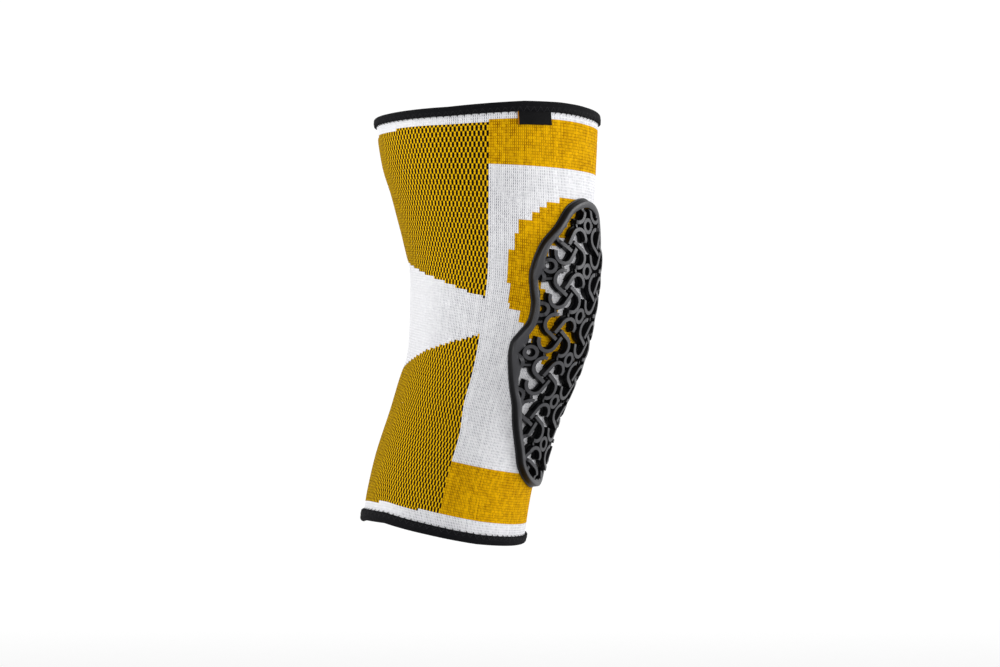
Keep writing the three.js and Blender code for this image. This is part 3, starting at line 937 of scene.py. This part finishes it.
def distance_to(outline, points):
    """Shortest distance from each point to a closed outline."""
    start = outline[None, :, :]
    way = np.roll(outline, -1, axis=0)[None, :, :] - start
    along = np.sum((points[:, None, :] - start) * way, axis=2) / np.sum(way * way, axis=2)
    nearest = start + np.clip(along, 0, 1)[..., None] * way
    return np.linalg.norm(points[:, None, :] - nearest, axis=2).min(axis=1)


def is_inside(outline, points):
    x, y = points[:, 0][:, None], points[:, 1][:, None]
    a, b = outline, np.roll(outline, -1, axis=0)
    crosses = (a[:, 1] > y) != (b[:, 1] > y)
    at = a[:, 0] + (y - a[:, 1]) / (b[:, 1] - a[:, 1] + 1e-12) * (b[:, 0] - a[:, 0])
    return np.sum(crosses & (x < at), axis=1) % 2 == 1


def inward_normals(outline):
    way = np.roll(outline, -1, axis=0) - np.roll(outline, 1, axis=0)
    way /= np.linalg.norm(way, axis=1)[:, None]
    normals = np.stack((-way[:, 1], way[:, 0]), axis=-1)
    probe = outline[:1] + normals[:1]
    return normals if is_inside(outline, probe)[0] else -normals


def room_inside(outline, normals, most):
    """How far each outline point may move in before it meets another side."""
    room = np.full(len(outline), most)
    for distance in np.arange(most, ROOM_LEAST, -ROOM_STEP):
        clear = distance_to(outline, outline + normals * distance) > ROOM_SHARE * distance
        room = np.where(clear | (room < distance), room, distance - ROOM_STEP)
    for _ in range(6):
        room = np.minimum(room, (np.roll(room, 1) + room + np.roll(room, -1)) / 3)
    return room


def arc(centre, radius, start, end, steps):
    angle = np.radians(np.linspace(start, end, steps + 1))
    return centre + radius * np.stack((np.cos(angle), np.sin(angle)), axis=-1)


def quarter_turned(point, quarter):
    x, y = point
    return np.array(((x, y), (-y, x), (-x, -y), (y, -x))[quarter])


def lobe_centre(knot, quarter):
    return knot + quarter_turned(LOBE_CENTRE, quarter)


def hook_line(knot, quarter, full):
    """Path and top height of a hook. Its tail drops under the next hook."""
    start, end = HOOK_START + quarter * 90, HOOK_END + quarter * 90
    bend = arc(lobe_centre(knot, quarter), LOBE_RADIUS, start, end, HOOK_STEPS)
    heading = math.radians(end + 90)
    way = np.array((math.cos(heading), math.sin(heading)))
    path = np.vstack((bend, bend[-1] + way * HOOK_TAIL[:, None]))
    top = np.full(len(path), full)
    top[:2] -= HEAD_FALL
    top[-3:] = full * TAIL_FALL
    return path, top


def straight_line(start, end, top):
    way = (end - start) / np.linalg.norm(end - start)
    share = np.linspace(0, 1, 5)[:, None]
    path = (start - way * LINK_OVERLAP) + share * (end - start + 2 * LINK_OVERLAP * way)
    return path, np.full(len(path), top)


def lattice_lines(settings):
    """Hooks and rings, the low links, and the web under both, as (path, top)."""
    full = settings.lattice_height / MM
    low = full * LINK_SHARE
    columns = math.ceil(GUARD_WIDTH / 2 / PITCH_ACROSS)
    rows_down = math.ceil((GUARD_DOWN + ROW_OFFSET) / PITCH_ALONG)
    rows_up = math.ceil((GUARD_UP - ROW_OFFSET) / PITCH_ALONG)
    pitch = np.array((PITCH_ACROSS, PITCH_ALONG))
    up, right = np.array((0, LOBE_RADIUS)), np.array((LOBE_RADIUS, 0))
    broad, thin, web = [], [], []
    for row in range(-rows_down, rows_up + 1):
        for column in range(-columns, columns):
            ring = np.array(
                (LATTICE_OFFSET + column * PITCH_ACROSS, ROW_OFFSET + (row + 0.5) * PITCH_ALONG)
            )
            knot = ring + pitch * (0.5, -0.5)
            for quarter in range(4):
                path, top = hook_line(knot, quarter, full)
                broad.append((path, top))
                web.append((path[:WEB_POINTS], top[:WEB_POINTS] * HOOK_WEB))
            circle = arc(ring, RING_RADIUS, 0, 360, RING_STEPS)
            broad.append((circle, np.full(len(circle), full - RING_DROP)))
            web.append((circle, np.full(len(circle), low * RING_WEB)))
            above, beside = knot + (0, PITCH_ALONG), knot + (PITCH_ACROSS, 0)
            for start, end in (
                (lobe_centre(knot, 0) + up, lobe_centre(above, 3) - up),
                (lobe_centre(knot, 1) + up, lobe_centre(above, 2) - up),
                (lobe_centre(knot, 0) + right, lobe_centre(beside, 1) - right),
            ):
                thin.append(straight_line(start, end, low))
            for quarter in range(4):
                corner = ring + pitch * quarter_turned((1, 1), quarter) / 2
                facing = lobe_centre(corner, (quarter + 2) % 4)
                away = (facing - ring) / np.linalg.norm(facing - ring)
                start, end = ring + away * RING_RADIUS, facing - away * LOBE_RADIUS
                thin.append(straight_line(start, end, full * SPOKE_SHARE))
    web += [(path, top * LINK_WEB) for path, top in thin]
    return broad, thin, web


def trimmed(lines, opening, outline):
    """The stretches of the lines inside the rim, lowered where they meet it."""
    kept = []
    for path, top in lines:
        path = path + np.column_stack((read_off(LATTICE_SWAY, path[:, 1]), 0 * top))
        inside = is_inside(opening, path)
        depth = distance_to(outline, path)
        past_rim = np.clip((depth - RIM_WIDTH) / MEETING_SLOPE, 0, 1)
        top = np.minimum(top, mix(RIM_MEETING, NO_LIMIT, past_rim))
        runs = np.flatnonzero(np.diff(np.concatenate(([0], inside.astype(int), [0]))))
        for start, stop in zip(runs[::2], runs[1::2]):
            if stop - start > 1:
                kept.append((path[start:stop], top[start:stop]))
    return kept


def sweep_bands(name, lines, width, rubber):
    """All the lines as bars of one width, still flat, in millimetres."""
    points = np.vstack([np.column_stack((path, 0 * top)) for path, top in lines])
    last_points = np.cumsum([len(path) for path, _ in lines]) - 1
    starts = np.delete(np.arange(len(points)), last_points)
    piece = add_object(name, points, np.stack((starts, starts + 1), axis=-1).tolist())
    set_attribute(piece, "band_top", np.concatenate([top for _, top in lines]))
    band_tree().apply_to(piece, Width=width, Height=1.0, Corner=0.06, Material=rubber)
    place = read_all(piece.data.vertices, "co", width=3).astype(float)
    return piece, place, read_all(piece.data.attributes["band_top"].data, "value")


def drape(points):
    """Flat points laid over the front of the knee."""
    x, y, z = points.T
    up, down = front_levels(GUARD_UP + 1), front_levels(-GUARD_DOWN - 1)
    level = np.where(
        y < 0,
        np.interp(-y, np.arange(len(down)), down),
        np.interp(y, np.arange(len(up)), up),
    )
    swing = TIP_SWING * (np.maximum(-y, 0) / GUARD_DOWN) ** 3
    return skin(level, turn_at(level, x + swing), GUARD_CLEARANCE + z)


def rim_points(outline, normals, room, reach, settings):
    """Rings of the rim, still flat, from its outer foot to its inner one."""
    section = np.array(RIM_SECTION)
    scale = settings.rim_height / MM / section[:, 1].max()
    spread = (reach - RIM_SHOULDER) / (RIM_WIDTH - RIM_SHOULDER)
    limit = np.where(room < RIM_WIDTH, room, RIM_WIDTH * 2)
    rings = []
    for distance, height in section:
        inwards = min(distance, RIM_SHOULDER) + max(distance - RIM_SHOULDER, 0) * spread
        moved = outline + normals * np.minimum(inwards, limit)[:, None]
        rings.append(np.column_stack((moved, np.full(len(outline), height * scale))))
    return np.vstack(rings)


def settle_crest(piece, by_face):
    """Turns the points' marks into the attribute that the rubber reads."""
    mesh = piece.data
    marks = read_all(mesh.attributes["crest_point"].data, "value")
    if by_face:
        corners = read_all(mesh.loops, "vertex_index", np.int32)
        starts = read_all(mesh.polygons, "loop_start", np.int32)
        marks = np.minimum.reduceat(marks[corners], starts) > 0.9
    set_attribute(piece, "crest", marks, "FACE" if by_face else "POINT")
    mesh.attributes.remove(mesh.attributes["crest_point"])


def make_guard(settings):
    outline = guard_outline()
    normals = inward_normals(outline)
    room = room_inside(outline, normals, RIM_WIDTH)
    reach = read_off(RIM_REACH, outline[:, 1])
    opening = outline + normals * np.minimum(reach - RIM_OVERLAP, room)[:, None]
    broad, thin, web = lattice_lines(settings)
    rubber = rubber_material(settings)
    lattice = []
    for name, lines, width in (
        ("lattice_web", web, settings.base_width / MM),
        ("lattice_hooks", broad, settings.band_width / MM),
        ("lattice_ticks", thin, settings.tick_width / MM),
    ):
        piece, place, top = sweep_bands(name, trimmed(lines, opening, outline), width, rubber)
        share = np.clip(place[:, 2] + 0.5, 0, 1)
        # Only the tops of hooks and ticks keep the rubber's tone; their walls and the whole web
        # take the painted wall shade
        set_attribute(piece, "crest_point", share * (lines is not web))
        place[:, 2] = share * top
        draped = drape(place) * MM
        piece.data.vertices.foreach_set("co", draped.astype(np.float32).ravel())
        lattice.append(piece)
    points = drape(rim_points(outline, normals, room, reach, settings))
    rim = new_piece("guard_rim", points, ring_faces(len(RIM_SECTION), len(outline)), rubber)
    set_attribute(rim, "crest_point", np.repeat(RIM_CREST, len(outline)))
    for piece in (*lattice, rim):
        face_outwards(piece)
        settle_crest(piece, by_face=piece is not rim)
        shade(piece, SHARP_ANGLE)
        stand_for(piece, "knee_guard")


# ---- Stage -------------------------------------------------------------------

# Level, reach, bend and steps round of the sweep, in metres
FLOOR_LEVEL = -0.42
SWEEP_REACH, SWEEP_BEND, SWEEP_STEPS = 3.6, 1.4, 64

# Where the camera looks, in the level plane, and what the lights point at
CAMERA_TURN = math.radians(30)
LIGHT_AIM = Vector((0, 0, -0.03))

# Lights: distance behind the pad, height, distance across, and size
FRONT_LIGHT = (-1.5, 0.25, 0.55, 0.8)
LEFT_LIGHT = (-0.15, 0.25, -1.5, 1.1)
RIGHT_LIGHT = (0.1, 0.2, 1.5, 1.1)


def sweep_profile():
    """Floor, bend and wall of the sweep: distance out and height, in metres."""
    flat = SWEEP_REACH - SWEEP_BEND
    angles = np.radians(np.arange(0, 91, 9))
    bend = np.stack((flat + SWEEP_BEND * np.sin(angles), SWEEP_BEND * (1 - np.cos(angles))))
    bend[1] += FLOOR_LEVEL
    ends = (0.02, FLOOR_LEVEL), (1.0, FLOOR_LEVEL), (SWEEP_REACH, SWEEP_REACH)
    return np.vstack((ends[:2], bend.T, ends[2:]))


def paper_material(settings, look):
    """Paper that glows by itself, brighter behind the pad than in front."""
    shader = Shader("Studio Paper", Roughness=0.9, Specular_IOR_Level=0.0, Emission_Strength=1.0)
    shader.material.cycles.emission_sampling = "NONE"
    shader.set("Base Color", shader.blend(shader.noise(40.0), (0.03,) * 3, (0.04,) * 3))
    east, north = shader.x_and_y(shader.place())
    behind = ((east * look.x + north * look.y + 1.2) / 2.6).clamp()
    glow = shader.blend(behind, (settings.paper_dim,) * 3, (settings.paper_glow,) * 3)
    shader.set("Emission Color", glow)
    return shader.material


def make_stage(settings):
    """White sweep of floor and backdrop, soft lights, and the camera."""
    scene = bpy.context.scene
    look = Vector((math.cos(CAMERA_TURN), math.sin(CAMERA_TURN), 0))
    side = Vector((look.y, -look.x, 0))
    out, height = sweep_profile().T[..., None]
    angle = even_steps(SWEEP_STEPS)[:-1] * 2 * math.pi
    level = np.broadcast_to(height, (len(height), SWEEP_STEPS))
    points = np.stack((out * np.cos(angle), out * np.sin(angle), level), axis=-1) / MM
    faces = ring_faces(len(out), SWEEP_STEPS, closed_rows=False)
    material = paper_material(settings, look)
    new_piece("studio_sweep", points.reshape(-1, 3), faces, material)

    world = bpy.data.worlds.new("Studio")
    world.use_nodes = True
    backdrop = world.node_tree.nodes["Background"]
    backdrop.inputs["Color"].default_value = (1, 1, 1, 1)
    backdrop.inputs["Strength"].default_value = settings.ambient
    scene.world = world

    for name, (away, up, across, size), power in (
        ("Front Light", FRONT_LIGHT, settings.front_power),
        ("Left Light", LEFT_LIGHT, settings.left_power),
        ("Right Light", RIGHT_LIGHT, settings.right_power),
    ):
        lamp = bpy.data.lights.new(name, "AREA")
        lamp.shape, lamp.size, lamp.energy = "DISK", size, power
        holder = bpy.data.objects.new(name, lamp)
        holder.location = look * away + side * across + Vector((0, 0, up))
        holder.rotation_euler = (LIGHT_AIM - holder.location).to_track_quat("-Z", "Y").to_euler()
        holder.visible_camera = False
        scene.collection.objects.link(holder)

    lens = bpy.data.cameras.new("Camera")
    lens.lens, lens.sensor_width = settings.lens, 36
    lens.clip_start, lens.clip_end = 0.05, 30
    camera = bpy.data.objects.new("Camera", lens)
    camera.location = look * -settings.camera_distance + Vector((0, 0, settings.camera_height))
    camera.rotation_euler = look.to_track_quat("-Z", "Y").to_euler()
    scene.collection.objects.link(camera)
    scene.camera = camera
    scene.view_settings.view_transform = "Standard"
    scene.view_settings.look = "None"


# ---- Settings ----------------------------------------------------------------


def number_setting(name, description, default, **options):
    kind = bpy.props.IntProperty if isinstance(default, int) else bpy.props.FloatProperty
    return kind(name=name, description=description, default=default, **options)


def length_setting(name, description, default):
    return number_setting(name, description, default, unit="LENGTH", precision=5)


def colour_setting(name, description, default):
    return bpy.props.FloatVectorProperty(
        name=name, description=description, default=default, subtype="COLOR", size=3, min=0, max=1
    )


class KneePadKnitSettings(bpy.types.PropertyGroup):
    """Stitches and yarns of the sleeve."""

    wales: number_setting("Wales", "Stitches round the leg", 320)
    courses: number_setting("Courses", "Rows of stitches", 157)
    inner_rows: number_setting("Inner Rows", "Rows inside", 40)
    jacquard_rise: length_setting("Jacquard Rise", "How far the two-colour knit stands out", 0.0005)
    yellow: colour_setting("Yellow", "Yellow yarn", (0.83, 0.46, 0.002))
    yellow_shade: colour_setting("Yellow Shade", "Yellow yarn in shade", (0.64, 0.32, 0.002))
    # The lit yellow is a painted highlight on the raised blocks, and the gap colours are painted
    # shade
    yellow_lit: colour_setting("Yellow Lit", "Yellow yarn on raised blocks", (0.88, 0.53, 0.003))
    yellow_gap_shade: colour_setting("Yellow Gap", "Gaps in yellow knit", (0.18, 0.065, 0.001))
    white: colour_setting("White", "White yarn", (0.86, 0.86, 0.88))
    white_shade: colour_setting("White Shade", "White yarn in shade", (0.74, 0.74, 0.77))
    # Painted shade in the gaps of the white knit
    white_gap_shade: colour_setting("White Gap", "Gaps in white knit", (0.22, 0.22, 0.26))
    black: colour_setting("Black", "Black yarn", (0.006, 0.004, 0.004))


class KneePadTapeSettings(bpy.types.PropertyGroup):
    """Edge tapes and their zigzag seam."""

    top_height: length_setting("Top Height", "Height of the thigh tape", 0.0062)
    bottom_height: length_setting("Bottom Height", "Height of the calf tape", 0.0067)
    ribs: number_setting("Ribs", "Ribs round the tape", 520)
    stitch_pitch: length_setting("Stitch Pitch", "Length of one zigzag", 0.0045)
    thread_radius: length_setting("Thread Radius", "Radius of the thread", 0.00016)
    colour: colour_setting("Colour", "Tape", (0.004, 0.004, 0.005))
    # Painted highlight on the raised ribs
    colour_lit: colour_setting("Lit Colour", "Raised ribs", (0.010, 0.010, 0.012))
    lint: colour_setting("Lint", "Lint on the tape", (0.16, 0.16, 0.17))
    thread: colour_setting("Thread", "Seam thread", (0.006, 0.006, 0.007))
    thread_lit: colour_setting("Lit Thread", "Seam thread's ply", (0.022, 0.022, 0.025))

    def stitches_round(self, edge):
        """Zigzags that fit round the leg at that edge."""
        width, depth = (THIGH_WIDTH, THIGH_DEPTH) if edge > 0 else (CALF_WIDTH, CALF_DEPTH)
        return round(math.pi * (width + depth) / 2 / (self.stitch_pitch / MM))


class KneePadTagSettings(bpy.types.PropertyGroup):
    """Colours of the woven tag."""

    colour: colour_setting("Colour", "Tag", (0.004, 0.004, 0.0045))
    colour_lit: colour_setting("Lit Colour", "Raised weave", (0.010, 0.010, 0.011))
    selvedge: colour_setting("Selvedge", "Thread along one side", (0.55, 0.2, 0.01))


class KneePadGuardSettings(bpy.types.PropertyGroup):
    """Sizes and finish of the moulded guard."""

    band_width: length_setting("Band Width", "Width of hooks and rings", 0.0023)
    base_width: length_setting("Base Width", "Width of the web under the hooks", 0.0042)
    tick_width: length_setting("Tick Width", "Width of the low links", 0.0015)
    lattice_height: length_setting("Lattice Height", "Height of hooks and rings", 0.0055)
    rim_height: length_setting("Rim Height", "Height of the rim", 0.0047)
    rubber: colour_setting("Rubber", "Rubber", (0.034, 0.034, 0.037))
    rubber_lit: colour_setting("Lit Rubber", "Paler rubber", (0.048, 0.048, 0.053))
    # Painted shade on the walls of the bands
    rubber_wall_shade: colour_setting("Rubber Side", "Walls of the bands", (0.0025, 0.0025, 0.003))
    dust: colour_setting("Dust", "Fine dust", (0.12, 0.12, 0.12))
    roughness: number_setting(
        "Roughness", "Least roughness of the rubber", 0.30, subtype="FACTOR"
    )


class KneePadStageSettings(bpy.types.PropertyGroup):
    """Studio and camera."""

    camera_distance: length_setting("Camera Distance", "From the knee", 1.235)
    camera_height: length_setting("Camera Height", "Above the knee", -0.0305)
    lens: number_setting("Lens", "Focal length", 68.4, unit="CAMERA")
    ambient: number_setting("Ambient", "World strength", 0.6)
    paper_glow: number_setting("Paper Glow", "Light of the sweep behind", 1.0)
    paper_dim: number_setting("Paper Dim", "Light of the sweep in front", 0.42)
    front_power: number_setting("Front", "Front light", 13.5, unit="POWER")
    left_power: number_setting("Left", "Left light", 17.0, unit="POWER")
    right_power: number_setting("Right", "Right light", 20.0, unit="POWER")


# ---- Operators ---------------------------------------------------------------


class KNEEPAD_OT_stage(bpy.types.Operator):
    """Build the studio sweep, lights and camera"""

    bl_idname = "kneepad.stage"
    bl_label = "Studio Stage"

    def execute(self, context):
        make_stage(context.scene.knee_pad_stage)
        return {"FINISHED"}


class KNEEPAD_OT_knit(bpy.types.Operator):
    """Knit the jacquard sleeve"""

    bl_idname = "kneepad.knit"
    bl_label = "Knit Sleeve"

    def execute(self, context):
        make_knit(context.scene.knee_pad_knit)
        return {"FINISHED"}


class KNEEPAD_OT_tapes(bpy.types.Operator):
    """Fold both edge tapes and sew them on"""

    bl_idname = "kneepad.tapes"
    bl_label = "Edge Tapes"

    def execute(self, context):
        settings = context.scene.knee_pad_tape
        top, bottom = settings.top_height / MM, settings.bottom_height / MM
        make_tape("top_tape", "top_binding", REACH_ABOVE, top, 1, settings)
        make_tape("bottom_tape", "bottom_binding", -REACH_BELOW, bottom, -1, settings)
        make_stitches("top_zigzag", REACH_ABOVE, top, 1, settings)
        make_stitches("bottom_zigzag", -REACH_BELOW, bottom, -1, settings)
        return {"FINISHED"}


class KNEEPAD_OT_tag(bpy.types.Operator):
    """Hang the woven tag under the thigh tape"""

    bl_idname = "kneepad.tag"
    bl_label = "Woven Tag"

    def execute(self, context):
        make_tag(context.scene.knee_pad_tag)
        return {"FINISHED"}


class KNEEPAD_OT_guard(bpy.types.Operator):
    """Mould the lattice guard over the knee"""

    bl_idname = "kneepad.guard"
    bl_label = "Lattice Guard"

    def execute(self, context):
        make_guard(context.scene.knee_pad_guard)
        return {"FINISHED"}


class KNEEPAD_PT_panel(bpy.types.Panel):
    """Lists the pad's pieces"""

    bl_idname = "KNEEPAD_PT_panel"
    bl_label = "Knee Pad"
    bl_space_type = "VIEW_3D"
    bl_region_type = "UI"
    bl_category = "Knee Pad"

    def draw(self, context):
        for operator in OPERATORS:
            self.layout.operator(operator.bl_idname)
        for name in SETTINGS:
            group = getattr(context.scene, name)
            box = self.layout.box()
            box.label(text=group.__doc__ or name)
            for key in group.__annotations__:
                box.prop(group, key)


OPERATORS = (
    KNEEPAD_OT_stage,
    KNEEPAD_OT_knit,
    KNEEPAD_OT_tapes,
    KNEEPAD_OT_tag,
    KNEEPAD_OT_guard,
)
SETTINGS = {
    "knee_pad_knit": KneePadKnitSettings,
    "knee_pad_tape": KneePadTapeSettings,
    "knee_pad_tag": KneePadTagSettings,
    "knee_pad_guard": KneePadGuardSettings,
    "knee_pad_stage": KneePadStageSettings,
}
CLASSES = (*SETTINGS.values(), *OPERATORS, KNEEPAD_PT_panel)


def register():
    for item in CLASSES:
        bpy.utils.register_class(item)
    for name, group in SETTINGS.items():
        setattr(bpy.types.Scene, name, bpy.props.PointerProperty(type=group))


def unregister():
    for name in SETTINGS:
        delattr(bpy.types.Scene, name)
    for item in reversed(CLASSES):
        bpy.utils.unregister_class(item)


def main():
    register()
    bpy.ops.kneepad.stage()
    bpy.ops.kneepad.tapes()
    bpy.ops.kneepad.tag()
    bpy.ops.kneepad.guard()
    bpy.ops.kneepad.knit()


if __name__ == "__main__":
    main()
